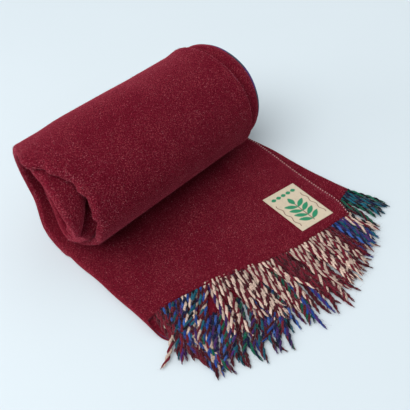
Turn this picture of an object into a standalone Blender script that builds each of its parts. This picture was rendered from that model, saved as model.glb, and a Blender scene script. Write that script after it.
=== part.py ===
"""A reversible wool travel rug: folded twice lengthwise, rolled from its far end and laid on its own tail.

Metres, Z up. X runs along the roll from left to right, Y away from the fringe.
The cloth is one piece, seen in section as a serpentine of four layers. The section sweeps along the tail,
which lies flat, and then round the turns of the roll.
"""

import math
import random
from typing import NamedTuple

import bmesh
import bpy
import numpy as np

# The cloth and how its four layers lie on each other.
CLOTH_THICK = 0.0030
LAYER_PITCH = 0.0036
PACK_THICK = 3 * LAYER_PITCH + CLOTH_THICK
# Fold radii to the middle of the cloth: the left fold wraps another fold, the right one doesn't.
OUTER_FOLD_RADIUS = 1.5 * LAYER_PITCH
INNER_FOLD_RADIUS = 0.5 * LAYER_PITCH
OUTER_FOLD_STEPS = 4
INNER_FOLD_STEPS = 3
# Shares of the width at which each layer has a row of points, close together by the left fold.
ACROSS = (0.0, 0.08, 0.30, 0.65, 1.0)

# Shares of the tail's length, from the fringe to the start of the roll, at which it has a section.
TAIL_STEPS = (0.0, 0.12, 0.26, 0.42, 0.58, 0.74, 0.88)
# Degrees between sections on the roll, and the turn angle at which the coarser inner steps begin.
FINE_STEP = 15.0
COARSE_STEP = 22.5
FINE_UNTIL = 720.0

# The origin in the plan that the tables use: the middle of the object's outline.
ORIGIN = (0.0075, -0.1456)
# Height of the roll's middle line over the floor at its two ends.
AXIS_HEIGHT_LEFT = 0.110
AXIS_HEIGHT_RIGHT = 0.104


class TailRow(NamedTuple):
    """Side edges of the tail at a share of its length from the fringe."""

    share: float
    left_fold_x: float
    right_fold_x: float
    selvedge_x: float


TAIL = (
    TailRow(0.00, -0.200, 0.237, 0.172),
    TailRow(0.10, -0.196, 0.236, 0.187),
    TailRow(0.25, -0.191, 0.236, 0.195),
    TailRow(0.45, -0.186, 0.239, 0.207),
    TailRow(0.65, -0.179, 0.244, 0.221),
    TailRow(0.85, -0.175, 0.243, 0.230),
    TailRow(1.00, -0.169, 0.238, 0.229),
)


class EndRow(NamedTuple):
    """Where the cloth ends, in Y, at a share of its width: the two upper layers and the two lower ones."""

    share: float
    upper_y: float
    lower_y: float


END = (
    EndRow(0.00, -0.190, -0.234),
    EndRow(0.08, -0.191, -0.242),
    EndRow(0.30, -0.214, -0.262),
    EndRow(0.65, -0.267, -0.273),
    EndRow(1.00, -0.294, -0.258),
)


class TurnRow(NamedTuple):
    """Outer face and side edges of the rolled pack at an angle from the floor, up the back and over.

    The flare is how far its left edge stands out from the straight line of the roll.
    """

    angle: float
    left_radius: float
    right_radius: float
    left_fold_x: float
    right_fold_x: float
    selvedge_x: float
    flare: float


TURNS = (
    TurnRow(0, 0.1100, 0.1040, -0.172, 0.238, 0.229, 0.0),
    TurnRow(30, 0.1078, 0.1022, -0.165, 0.226, 0.226, 0.0),
    TurnRow(60, 0.1053, 0.1000, -0.150, 0.210, 0.220, 0.0),
    TurnRow(90, 0.1030, 0.0975, -0.157, 0.196, 0.212, 0.0),
    TurnRow(120, 0.1033, 0.0982, -0.171, 0.182, 0.203, 0.0),
    TurnRow(150, 0.1040, 0.0990, -0.190, 0.172, 0.200, 0.0),
    TurnRow(178, 0.1045, 0.0997, -0.212, 0.166, 0.201, 0.0),
    TurnRow(193, 0.1041, 0.0993, -0.200, 0.167, 0.202, 0.0),
    TurnRow(222, 0.1031, 0.0982, -0.181, 0.170, 0.204, 0.0),
    TurnRow(245, 0.1008, 0.0968, -0.179, 0.173, 0.203, 0.0),
    TurnRow(270, 0.0975, 0.0950, -0.179, 0.176, 0.203, 0.0),
    TurnRow(290, 0.0880, 0.0938, -0.174, 0.180, 0.202, 0.0),
    TurnRow(310, 0.0830, 0.0920, -0.160, 0.185, 0.201, 0.0),
    TurnRow(335, 0.0880, 0.0905, -0.152, 0.186, 0.199, 0.0),
    TurnRow(360, 0.0942, 0.0885, -0.152, 0.185, 0.198, 0.0),
    TurnRow(405, 0.0908, 0.0856, -0.138, 0.182, 0.202, 0.0),
    TurnRow(450, 0.0873, 0.0819, -0.134, 0.180, 0.204, 0.0),
    TurnRow(482, 0.0876, 0.0824, -0.150, 0.180, 0.204, 0.0),
    TurnRow(508, 0.0882, 0.0832, -0.180, 0.180, 0.204, 0.0),
    TurnRow(535, 0.0887, 0.0840, -0.202, 0.180, 0.204, 0.0),
    TurnRow(564, 0.0882, 0.0832, -0.212, 0.180, 0.204, 0.002),
    TurnRow(592, 0.0868, 0.0818, -0.218, 0.180, 0.204, 0.004),
    TurnRow(617, 0.0835, 0.0800, -0.211, 0.180, 0.204, 0.003),
    TurnRow(633, 0.0775, 0.0788, -0.202, 0.180, 0.204, 0.001),
    TurnRow(648, 0.0680, 0.0776, -0.186, 0.180, 0.204, 0.0),
    TurnRow(665, 0.0672, 0.0765, -0.178, 0.180, 0.204, 0.0),
    TurnRow(690, 0.0686, 0.0745, -0.172, 0.180, 0.204, 0.0),
    TurnRow(720, 0.0765, 0.0726, -0.166, 0.180, 0.204, 0.0),
    TurnRow(765, 0.0742, 0.0693, -0.146, 0.181, 0.205, 0.0),
    TurnRow(810, 0.0712, 0.0658, -0.140, 0.182, 0.206, 0.0),
    TurnRow(860, 0.0700, 0.0652, -0.150, 0.183, 0.207, 0.0),
    TurnRow(905, 0.0665, 0.0632, -0.164, 0.184, 0.208, 0.0),
    TurnRow(945, 0.0600, 0.0592, -0.166, 0.186, 0.208, 0.0),
    TurnRow(975, 0.0525, 0.0540, -0.166, 0.186, 0.208, 0.0),
    TurnRow(1010, 0.0455, 0.0490, -0.164, 0.186, 0.207, 0.0),
    TurnRow(1050, 0.0440, 0.0450, -0.162, 0.186, 0.206, 0.0),
    TurnRow(1080, 0.0432, 0.0428, -0.160, 0.186, 0.206, 0.0),
    TurnRow(1170, 0.0362, 0.0352, -0.156, 0.184, 0.204, 0.0),
    TurnRow(1260, 0.0300, 0.0295, -0.156, 0.182, 0.202, 0.0),
    TurnRow(1350, 0.0245, 0.0245, -0.158, 0.182, 0.202, 0.0),
    TurnRow(1395, 0.0225, 0.0225, -0.160, 0.182, 0.202, 0.0),
)
# Share of the width over which the flare fades.
FLARE_SHARE = 0.16


class StrandRow(NamedTuple):
    """Strands at a share of the width: how long they are, and how far they turn from straight outward.

    Turns are in degrees, negative to the left.
    """

    share: float
    upper_length: float
    upper_turn: float
    lower_length: float
    lower_turn: float


STRANDS = (
    StrandRow(0.00, 0.058, -50.0, 0.052, -48.0),
    StrandRow(0.10, 0.072, -50.0, 0.078, -46.0),
    StrandRow(0.20, 0.118, -55.0, 0.105, -42.0),
    StrandRow(0.30, 0.118, -52.0, 0.112, -33.0),
    StrandRow(0.40, 0.110, -33.0, 0.120, -24.0),
    StrandRow(0.50, 0.112, -20.0, 0.125, -18.0),
    StrandRow(0.60, 0.112, -13.0, 0.125, -14.0),
    StrandRow(0.80, 0.096, -12.0, 0.100, -12.0),
    StrandRow(0.90, 0.074, -4.0, 0.084, -4.0),
    StrandRow(1.00, 0.066, 5.0, 0.074, 8.0),
)


class FringeRow(NamedTuple):
    """One layer's row of strands: its layer from the top, inset from the left fold, and wave seed."""

    node: str
    layer: int
    left_inset: float
    seed: int


FRINGE = (
    FringeRow("fringe_first", 0, 0.016, 11),
    FringeRow("fringe_second", 1, 0.030, 23),
    FringeRow("fringe_third", 2, 0.004, 37),
    FringeRow("fringe_fourth", 3, 0.009, 41),
)
STRANDS_PER_LAYER = 36
HEADING_RADIUS = 0.0015
# A strand lies a little flattened, so it is wider than it is deep.
STRAND_HALF_WIDE = 0.0021
STRAND_HALF_DEEP = 0.0013
STRAND_SEGMENTS = 4
STRAND_WAVE = 0.0007
RIGHT_INSET = 0.004
# The strands' shared heading lies this far beyond the cloth's end, measured between their faces.
FRINGE_GAP = 0.0004

LABEL_WIDE = 0.068
LABEL_DEEP = 0.094
LABEL_THICK = 0.0010
LABEL_AT = (0.137, -0.2205)
LABEL_TURN = math.radians(-12.0)
PIECE_GAP = 0.0003


class Finish(NamedTuple):
    """Base colour, roughness and metallic of one material."""

    colour: tuple[float, float, float]
    roughness: float
    metallic: float


CLOTH_FINISH = Finish((0.125, 0.012, 0.026), 0.95, 0.0)
LABEL_FINISH = Finish((0.62, 0.58, 0.46), 0.85, 0.0)
FRINGE_FINISHES = {
    "fringe_first": Finish((0.42, 0.22, 0.20), 0.95, 0.0),
    "fringe_second": Finish((0.14, 0.014, 0.030), 0.95, 0.0),
    "fringe_third": Finish((0.030, 0.060, 0.150), 0.95, 0.0),
    "fringe_fourth": Finish((0.020, 0.100, 0.090), 0.95, 0.0),
}


def column(rows, key, name, value):
    """A smooth value of one named column at a value of the key column (monotone cubic between rows)."""
    xs = np.array([getattr(row, key) for row in rows], float)
    ys = np.array([getattr(row, name) for row in rows], float)
    steps = np.diff(xs)
    slopes = np.diff(ys) / steps
    tangents = np.concatenate([slopes[:1], (slopes[:-1] + slopes[1:]) / 2, slopes[-1:]])
    # A row that is a high or low point of its column keeps a level tangent, so the curve doesn't overshoot.
    turning = np.concatenate([[False], slopes[:-1] * slopes[1:] <= 0, [False]])
    tangents[turning] = 0.0
    at = int(np.clip(np.searchsorted(xs, value) - 1, 0, len(steps) - 1))
    t = float(np.clip((value - xs[at]) / steps[at], 0.0, 1.0))
    start = (1 + 2 * t) * (1 - t) ** 2 * ys[at] + t * (1 - t) ** 2 * steps[at] * tangents[at]
    end = t * t * (3 - 2 * t) * ys[at + 1] + t * t * (t - 1) * steps[at] * tangents[at + 1]
    return start + end


class SectionPoint(NamedTuple):
    """A point of the folded cloth's section.

    across is its share of the width, aside its distance beyond that in metres, height its depth into the
    pack from the underside, and upper how far it belongs to the two upper layers.
    """

    across: float
    aside: float
    height: float
    upper: float


def layer_height(layer):
    """Height of a layer's middle over the pack's underside, with layer 0 on top."""
    return PACK_THICK - CLOTH_THICK / 2 - layer * LAYER_PITCH


def run(layer, shares, side):
    """One layer's face: a row of points at these shares of the width, offset to one side of its middle."""
    height = layer_height(layer) + side * CLOTH_THICK / 2
    upper = 1.0 if layer < 2 else 0.0
    return [SectionPoint(share, 0.0, height, upper) for share in shares]


def fold(across, middle, radius, steps, outward, uppers):
    """A half circle of cloth between two layers, without its ends, from one layer's level to the other's.

    uppers holds which pair of layers the fold leaves and which it reaches, and with them its direction.
    """
    start, end = uppers
    rising = 1.0 if outward[1] else -1.0
    points = []
    for step in range(1, steps):
        turn = math.pi * step / steps
        height = middle - rising * radius * math.cos(turn)
        share = step / steps
        aside = outward[0] * radius * math.sin(turn)
        points.append(SectionPoint(across, aside, height, start + (end - start) * share))
    return points


def face(side):
    """One face of the whole folded cloth, from the upper selvedge to the lower one.

    side is +1 for the face that shows (plain) and -1 for the reverse, which the folds hide.
    """
    half = side * CLOTH_THICK / 2
    rightward = list(ACROSS)
    leftward = rightward[::-1]
    middle_left = (layer_height(0) + layer_height(3)) / 2
    middle_right = (layer_height(2) + layer_height(3)) / 2
    return (
        run(0, leftward, side)
        + fold(0.0, middle_left, OUTER_FOLD_RADIUS + half, OUTER_FOLD_STEPS, (-1, False), (1.0, 0.0))
        + run(3, rightward, -side)
        + fold(1.0, middle_right, INNER_FOLD_RADIUS + half, INNER_FOLD_STEPS, (1, True), (0.0, 0.0))
        + run(2, leftward, side)
        + fold(0.0, middle_left, INNER_FOLD_RADIUS - half, INNER_FOLD_STEPS, (-1, True), (0.0, 1.0))
        + run(1, rightward, -side)
    )


def side_position(point, left_x, right_fold_x, selvedge_x):
    """X of a section point between the edges of the pack at one station."""
    left = left_x + OUTER_FOLD_RADIUS + CLOTH_THICK / 2
    lower_right = right_fold_x - INNER_FOLD_RADIUS - CLOTH_THICK / 2
    right = point.upper * selvedge_x + (1 - point.upper) * lower_right
    return left + (right - left) * point.across + point.aside


def tail_position(point, share):
    """A section point on the flat tail, at a share of the way from the fringe to the roll."""
    x = side_position(
        point,
        column(TAIL, "share", "left_fold_x", share),
        column(TAIL, "share", "right_fold_x", share),
        column(TAIL, "share", "selvedge_x", share),
    )
    upper_y = column(END, "share", "upper_y", point.across)
    lower_y = column(END, "share", "lower_y", point.across)
    end_y = point.upper * upper_y + (1 - point.upper) * lower_y
    return (x, end_y * (1 - share), point.height)


def roll_position(point, angle):
    """A section point on the roll, at an angle from where the tail meets the roll's underside."""
    x = side_position(
        point,
        column(TURNS, "angle", "left_fold_x", angle),
        column(TURNS, "angle", "right_fold_x", angle),
        column(TURNS, "angle", "selvedge_x", angle),
    )
    left = column(TURNS, "angle", "left_radius", angle)
    right = column(TURNS, "angle", "right_radius", angle)
    flare = column(TURNS, "angle", "flare", angle) * max(0.0, 1 - point.across / FLARE_SHARE) ** 2
    radius = left + (right - left) * point.across - point.height + flare
    axis = AXIS_HEIGHT_LEFT + (AXIS_HEIGHT_RIGHT - AXIS_HEIGHT_LEFT) * point.across
    turn = math.radians(angle)
    return (x, radius * math.sin(turn), axis - radius * math.cos(turn))


def stations():
    """The sections' places along the cloth: a position function and its value for each."""
    last = TURNS[-1].angle
    angles = list(np.arange(0.0, FINE_UNTIL, FINE_STEP))
    angles += list(np.arange(FINE_UNTIL, last + COARSE_STEP / 2, COARSE_STEP))
    return [(tail_position, share) for share in TAIL_STEPS] + [(roll_position, a) for a in angles]


def add_mesh(name, collection, verts, faces):
    """A mesh object from points and faces, with its faces turned outward and shaded smooth."""
    mesh = bpy.data.meshes.new(name)
    mesh.from_pydata(verts, [], faces)
    shell = bmesh.new()
    shell.from_mesh(mesh)
    bmesh.ops.recalc_face_normals(shell, faces=shell.faces)
    shell.to_mesh(mesh)
    shell.free()
    mesh.polygons.foreach_set("use_smooth", [True] * len(mesh.polygons))
    obj = bpy.data.objects.new(name, mesh)
    collection.objects.link(obj)
    return obj


def build_cloth(collection):
    """The rug's cloth: its serpentine section lofted along the tail and round the roll."""
    shown = face(+1)
    hidden = face(-1)
    outline = shown + hidden[::-1]
    places = stations()
    verts = [place(point, value) for place, value in places for point in outline]
    count = len(outline)
    faces = []
    for row in range(len(places) - 1):
        for i in range(count):
            j = (i + 1) % count
            faces.append((row * count + i, row * count + j, (row + 1) * count + j, (row + 1) * count + i))
    # Each cut end is a strip of four-sided faces between the cloth's two faces.
    for row in (0, len(places) - 1):
        for i in range(len(shown) - 1):
            mate = count - 1 - i
            faces.append((row * count + i, row * count + i + 1, row * count + mate - 1, row * count + mate))
    return add_mesh("rug_cloth", collection, verts, faces)


def bar(name, collection, paths, radius):
    """Four-sided bars along paths, as one mesh object made from a bevelled curve."""
    curve = bpy.data.curves.new(name, "CURVE")
    curve.dimensions = "3D"
    curve.bevel_depth = radius
    curve.bevel_resolution = 0
    curve.use_fill_caps = True
    curve.twist_mode = "Z_UP"
    for path in paths:
        spline = curve.splines.new("POLY")
        spline.points.add(len(path) - 1)
        for control, place in zip(spline.points, path):
            control.co = (*place, 1.0)
    source = bpy.data.objects.new(name + "_curve", curve)
    mesh = bpy.data.meshes.new_from_object(source)
    bpy.data.objects.remove(source)
    obj = bpy.data.objects.new(name, mesh)
    collection.objects.link(obj)
    return obj


def end_line(layer, share):
    """A point of a layer's cut end on the tail, at a share of its width."""
    upper = 1.0 if layer < 2 else 0.0
    return tail_position(SectionPoint(share, 0.0, layer_height(layer), upper), 0.0)


def build_fringe(row, collection, cutters):
    """One layer's fringe: a narrow heading just off the cloth's end, with its strands fused into it."""
    corners = [end_line(row.layer, share) for share in ACROSS]
    off = HEADING_RADIUS + FRINGE_GAP
    # Straight lines between the same corners as the cloth's end keep the gap even.
    line = []
    for x, y, z in corners:
        line.append((x, y - off / math.cos(math.radians(26)), z))
    xs = [place[0] for place in line]
    ys = [place[1] for place in line]
    waves = random.Random(row.seed)
    tier = "upper" if row.layer < 2 else "lower"
    first = xs[0] + row.left_inset
    pitch = (xs[-1] - RIGHT_INSET - first) / (STRANDS_PER_LAYER - 1)
    paths = []
    for index in range(STRANDS_PER_LAYER):
        share = index / (STRANDS_PER_LAYER - 1)
        root_x = first + pitch * index
        root_y = float(np.interp(root_x, xs, ys))
        turn = math.radians(column(STRANDS, "share", tier + "_turn", share))
        along = (math.sin(turn), -math.cos(turn))
        length = column(STRANDS, "share", tier + "_length", share) * waves.uniform(0.92, 1.0)
        phase = waves.uniform(0.0, math.tau)
        path = []
        for step in range(STRAND_SEGMENTS + 1):
            reach = step / STRAND_SEGMENTS
            sway = STRAND_WAVE * reach * math.sin(phase + 4.5 * reach)
            # Past its root a strand drops to the level that the heading's underside rests on.
            drop = (HEADING_RADIUS - STRAND_HALF_DEEP) * min(1, step)
            path.append(
                (
                    root_x + along[0] * length * reach - along[1] * sway,
                    root_y + along[1] * length * reach + along[0] * sway,
                    line[0][2] - drop,
                )
            )
        paths.append(path)
    heading_bar = bar(row.node, collection, [line], HEADING_RADIUS)
    strands = bar(row.node + "_strands", cutters, paths, STRAND_HALF_WIDE)
    level = line[0][2] - HEADING_RADIUS + STRAND_HALF_DEEP
    for vertex in strands.data.vertices:
        vertex.co.z = level + (vertex.co.z - level) * STRAND_HALF_DEEP / STRAND_HALF_WIDE
    strands.hide_render = True
    strands.display_type = "WIRE"
    union = heading_bar.modifiers.new("strands", "BOOLEAN")
    union.operation = "UNION"
    union.solver = "EXACT"
    union.use_self = False
    union.object = strands
    return heading_bar


def build_label(collection):
    """The woven label: a thin slab sewn flat on the top layer."""
    bpy.ops.mesh.primitive_cube_add(size=1)
    label = bpy.context.object
    label.name = "rug_label"
    label.data.name = "rug_label"
    label.dimensions = (LABEL_WIDE, LABEL_DEEP, LABEL_THICK)
    label.location = (*LABEL_AT, PACK_THICK + PIECE_GAP + LABEL_THICK / 2)
    label.rotation_euler = (0.0, 0.0, LABEL_TURN)
    for owner in list(label.users_collection):
        owner.objects.unlink(label)
    collection.objects.link(label)
    return label


def dress(obj, finish):
    """Gives a piece its own material."""
    material = bpy.data.materials.new(obj.name)
    material.use_nodes = True
    shader = material.node_tree.nodes["Principled BSDF"]
    shader.inputs["Base Color"].default_value = (*finish.colour, 1.0)
    shader.inputs["Roughness"].default_value = finish.roughness
    shader.inputs["Metallic"].default_value = finish.metallic
    obj.data.materials.clear()
    obj.data.materials.append(material)


def shift_to_origin(collections):
    """Moves every piece so that the middle of the object's outline stands over the origin."""
    for collection in collections:
        for obj in collection.objects:
            obj.location.x -= ORIGIN[0]
            obj.location.y -= ORIGIN[1]


def clear_scene():
    """Removes whatever the scene starts with."""
    for obj in list(bpy.data.objects):
        bpy.data.objects.remove(obj, do_unlink=True)


def main():
    """Builds the rug, its fringes and its label."""
    clear_scene()
    rug = bpy.data.collections.new("travel_rug")
    cutters = bpy.data.collections.new("cutters")
    cutters.hide_render = True
    for collection in (rug, cutters):
        bpy.context.scene.collection.children.link(collection)
    dress(build_cloth(rug), CLOTH_FINISH)
    for row in FRINGE:
        dress(build_fringe(row, rug, cutters), FRINGE_FINISHES[row.node])
    dress(build_label(rug), LABEL_FINISH)
    shift_to_origin((rug, cutters))


main()
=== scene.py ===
"""A reversible wool travel rug, folded twice lengthwise and rolled from its far end: how it looks.

Metres, Z up. X runs along the roll from left to right, Y away from the fringe. The cloth is one sheet. Its
section is a serpentine of four layers, which runs along the flat tail and then round the turns of the roll.
"""

import logging
import math
import random
from dataclasses import dataclass
from enum import Enum

import bpy
import numpy as np
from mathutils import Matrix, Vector


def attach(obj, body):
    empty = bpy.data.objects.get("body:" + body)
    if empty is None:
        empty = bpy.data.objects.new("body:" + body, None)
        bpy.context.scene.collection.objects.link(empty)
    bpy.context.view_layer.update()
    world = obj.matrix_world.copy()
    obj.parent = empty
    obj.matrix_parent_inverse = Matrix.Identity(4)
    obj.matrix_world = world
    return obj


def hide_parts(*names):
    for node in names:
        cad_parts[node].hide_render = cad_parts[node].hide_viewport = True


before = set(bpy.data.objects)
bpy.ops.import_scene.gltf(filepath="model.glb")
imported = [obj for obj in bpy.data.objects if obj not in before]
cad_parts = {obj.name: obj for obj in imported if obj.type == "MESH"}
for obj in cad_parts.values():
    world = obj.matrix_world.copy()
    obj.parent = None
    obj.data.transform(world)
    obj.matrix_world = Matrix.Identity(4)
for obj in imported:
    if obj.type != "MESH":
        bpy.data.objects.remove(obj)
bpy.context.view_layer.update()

LOG = logging.getLogger("rug")
Colour = tuple[float, float, float]
Point = tuple[float, float, float]
Range = tuple[float, float]


class Table:
    """Rows of named columns, each joined by a smooth curve that keeps to its highs and lows."""

    def __init__(self, names: tuple[str, ...], rows: tuple[tuple[float, ...], ...]) -> None:
        """Keeps the rows as columns by name.

        Args:
            names: the columns' names, the key column first.
            rows: one tuple of numbers for each row, in rising order of the key.
        """
        values = np.array(rows, float)
        self.key = values[:, 0]
        self.columns = {name: values[:, i] for i, name in enumerate(names)}
        self.last = float(self.key[-1])

    def at(self, name: str, value: float | np.ndarray) -> np.ndarray:
        """Reads one column.

        Args:
            name: the column.
            value: one or more values of the key.

        Returns:
            The column's value at each of them.
        """
        xs, ys = self.key, self.columns[name]
        steps = np.diff(xs)
        slopes = np.diff(ys) / steps
        tangents = np.concatenate([slopes[:1], (slopes[:-1] + slopes[1:]) / 2, slopes[-1:]])
        tangents[1:-1][slopes[:-1] * slopes[1:] <= 0] = 0.0
        at = np.clip(np.searchsorted(xs, value) - 1, 0, len(steps) - 1)
        t = np.clip((value - xs[at]) / steps[at], 0.0, 1.0)
        start = (1 + 2 * t) * (1 - t) ** 2 * ys[at] + t * (1 - t) ** 2 * steps[at] * tangents[at]
        end = t * t * (3 - 2 * t) * ys[at + 1] + t * t * (t - 1) * steps[at] * tangents[at + 1]
        return start + end


# The middle of the object's outline, in the plan that the tables use.
ORIGIN = (0.0075, -0.1456)

# Side edges of the tail at a share of its length from the fringe.
TAIL = Table(
    ("share", "left_fold_x", "right_fold_x", "selvedge_x"),
    (
        (0.00, -0.200, 0.237, 0.172),
        (0.10, -0.196, 0.236, 0.187),
        (0.25, -0.191, 0.236, 0.195),
        (0.45, -0.186, 0.239, 0.207),
        (0.65, -0.179, 0.244, 0.221),
        (0.85, -0.175, 0.243, 0.230),
        (1.00, -0.169, 0.238, 0.229),
    ),
)
# Where the cloth ends, at a share of its width: the two upper layers and the two lower ones.
END = Table(
    ("share", "upper_y", "lower_y"),
    (
        (0.00, -0.190, -0.234),
        (0.08, -0.191, -0.242),
        (0.30, -0.214, -0.262),
        (0.65, -0.267, -0.273),
        (1.00, -0.294, -0.258),
    ),
)
# Outer face and side edges of the rolled pack at an angle from the floor, up the back and over. The flare is
# how far the left edge stands out from the straight line of the roll.
TURNS = Table(
    ("angle", "left_radius", "right_radius", "left_fold_x", "right_fold_x", "selvedge_x", "flare"),
    (
        (0, 0.1100, 0.1040, -0.172, 0.238, 0.229, 0.0),
        (30, 0.1078, 0.1022, -0.165, 0.226, 0.226, 0.0),
        (60, 0.1053, 0.1000, -0.150, 0.210, 0.220, 0.0),
        (90, 0.1030, 0.0975, -0.157, 0.196, 0.212, 0.0),
        (120, 0.1033, 0.0982, -0.171, 0.182, 0.203, 0.0),
        (150, 0.1040, 0.0990, -0.190, 0.172, 0.200, 0.0),
        (178, 0.1045, 0.0997, -0.212, 0.166, 0.201, 0.0),
        (193, 0.1041, 0.0993, -0.200, 0.167, 0.202, 0.0),
        (222, 0.1031, 0.0982, -0.181, 0.170, 0.204, 0.0),
        (245, 0.1008, 0.0968, -0.179, 0.173, 0.203, 0.0),
        (270, 0.0975, 0.0950, -0.179, 0.176, 0.203, 0.0),
        (290, 0.0880, 0.0938, -0.174, 0.180, 0.202, 0.0),
        (310, 0.0830, 0.0920, -0.160, 0.185, 0.201, 0.0),
        (335, 0.0880, 0.0905, -0.152, 0.186, 0.199, 0.0),
        (360, 0.0942, 0.0885, -0.152, 0.185, 0.198, 0.0),
        (405, 0.0908, 0.0856, -0.138, 0.182, 0.202, 0.0),
        (450, 0.0873, 0.0819, -0.134, 0.180, 0.204, 0.0),
        (482, 0.0876, 0.0824, -0.150, 0.180, 0.204, 0.0),
        (508, 0.0882, 0.0832, -0.180, 0.180, 0.204, 0.0),
        (535, 0.0887, 0.0840, -0.202, 0.180, 0.204, 0.0),
        (564, 0.0882, 0.0832, -0.212, 0.180, 0.204, 0.002),
        (592, 0.0868, 0.0818, -0.218, 0.180, 0.204, 0.004),
        (617, 0.0835, 0.0800, -0.211, 0.180, 0.204, 0.003),
        (633, 0.0775, 0.0788, -0.202, 0.180, 0.204, 0.001),
        (648, 0.0680, 0.0776, -0.186, 0.180, 0.204, 0.0),
        (665, 0.0672, 0.0765, -0.178, 0.180, 0.204, 0.0),
        (690, 0.0686, 0.0745, -0.172, 0.180, 0.204, 0.0),
        (720, 0.0765, 0.0726, -0.166, 0.180, 0.204, 0.0),
        (765, 0.0742, 0.0693, -0.146, 0.181, 0.205, 0.0),
        (810, 0.0712, 0.0658, -0.140, 0.182, 0.206, 0.0),
        (860, 0.0700, 0.0652, -0.150, 0.183, 0.207, 0.0),
        (905, 0.0665, 0.0632, -0.164, 0.184, 0.208, 0.0),
        (945, 0.0600, 0.0592, -0.166, 0.186, 0.208, 0.0),
        (975, 0.0525, 0.0540, -0.166, 0.186, 0.208, 0.0),
        (1010, 0.0455, 0.0490, -0.164, 0.186, 0.207, 0.0),
        (1050, 0.0440, 0.0450, -0.162, 0.186, 0.206, 0.0),
        (1080, 0.0432, 0.0428, -0.160, 0.186, 0.206, 0.0),
        (1170, 0.0362, 0.0352, -0.156, 0.184, 0.204, 0.0),
        (1260, 0.0300, 0.0295, -0.156, 0.182, 0.202, 0.0),
        (1350, 0.0245, 0.0245, -0.158, 0.182, 0.202, 0.0),
        (1395, 0.0225, 0.0225, -0.160, 0.182, 0.202, 0.0),
    ),
)
# The shares of the width, from the left, over which the flare and the rim's wander fade out.
FLARE_SHARE = 0.16
RIM_SHARE = 0.22
# A crease lifts only the wrap that it lies on, so none reaches further round than this.
HALF_TURN = 180.0
# Length of the strands and their turn from straight outward in degrees, at a share of the width.
STRANDS = Table(
    ("share", "upper_length", "upper_turn", "lower_length", "lower_turn"),
    (
        (0.00, 0.064, -18.0, 0.062, 0.0),
        (0.05, 0.106, -27.0, 0.102, -14.0),
        (0.09, 0.108, -36.0, 0.106, -30.0),
        (0.13, 0.095, -42.0, 0.094, -40.0),
        (0.18, 0.098, -47.0, 0.099, -44.0),
        (0.23, 0.114, -48.0, 0.115, -46.0),
        (0.27, 0.118, -40.0, 0.122, -42.0),
        (0.31, 0.110, -22.0, 0.127, -38.0),
        (0.42, 0.106, -13.0, 0.128, -36.0),
        (0.50, 0.108, -12.0, 0.128, -27.0),
        (0.60, 0.110, -12.0, 0.124, -17.0),
        (0.80, 0.096, -12.0, 0.100, -12.0),
        (0.90, 0.074, -4.0, 0.084, -4.0),
        (1.00, 0.066, 5.0, 0.074, 8.0),
    ),
)


class Bent(Enum):
    """The stretch of the cloth that a crease lies on, which decides which way it lifts the cloth."""

    TAIL = "tail"
    ROLL = "roll"


@dataclass(frozen=True)
class Crease:
    """A soft ridge, or a trough where its height is negative.

    On the tail its ends are places in X and Y in metres. On the roll they are turn angles in degrees and
    places in X. taper is the share of its length over which each end fades.
    """

    bent: Bent
    start: tuple[float, float]
    end: tuple[float, float]
    width: float
    height: float
    taper: float = 0.35

    def lift(self, along: np.ndarray, aside: np.ndarray, radius: float) -> np.ndarray:
        """How far the crease lifts points of the cloth.

        Args:
            along: their Y on the tail, or their turn angle on the roll.
            aside: their X.
            radius: metres for each radian of turn, or 1 on the tail.

        Returns:
            One lift in metres for each point.
        """
        scale = 1.0 if self.bent is Bent.TAIL else math.radians(1.0) * radius
        a = np.array(self.start if self.bent is Bent.ROLL else self.start[::-1]) * (scale, 1.0)
        b = np.array(self.end if self.bent is Bent.ROLL else self.end[::-1]) * (scale, 1.0)
        run = b - a
        length = float(np.hypot(*run))
        run = run / length
        du, dv = along * scale - a[0], aside - a[1]
        share = (du * run[0] + dv * run[1]) / length
        off = (dv * run[0] - du * run[1]) / self.width
        fade = np.clip(np.minimum(share, 1 - share) / self.taper + 0.5, 0.0, 1.0)
        return self.height * np.exp(-0.5 * off**2) * fade * fade * (3 - 2 * fade)


CREASES = (
    Crease(Bent.ROLL, (598.0, -0.158), (646.0, -0.206), 0.0058, -0.020, 0.20),
    Crease(Bent.ROLL, (586.0, -0.144), (632.0, -0.186), 0.0105, -0.020, 0.30),
    Crease(Bent.ROLL, (948.0, -0.136), (1000.0, -0.188), 0.0110, -0.022, 0.20),
    Crease(Bent.ROLL, (612.0, -0.160), (656.0, -0.178), 0.0060, 0.0065, 0.25),
    Crease(Bent.ROLL, (150.0, -0.120), (168.0, 0.020), 0.030, 0.0030),
    Crease(Bent.ROLL, (192.0, -0.150), (216.0, -0.040), 0.022, -0.0022),
    Crease(Bent.ROLL, (240.0, -0.170), (262.0, 0.020), 0.024, 0.0022),
    Crease(Bent.ROLL, (200.0, 0.060), (245.0, 0.120), 0.030, -0.0018),
    Crease(Bent.TAIL, (-0.150, -0.120), (-0.020, -0.030), 0.016, 0.0040),
    Crease(Bent.TAIL, (-0.060, -0.160), (0.080, -0.050), 0.020, 0.0030),
    Crease(Bent.TAIL, (0.100, -0.110), (0.170, -0.040), 0.018, 0.0025),
    Crease(Bent.TAIL, (-0.150, -0.180), (-0.090, -0.190), 0.014, 0.0022),
)


class Side(Enum):
    """The two faces of the cloth: the plain one shows, and the folds hide the checked one."""

    PLAIN = 1
    CHECKED = -1


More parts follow.
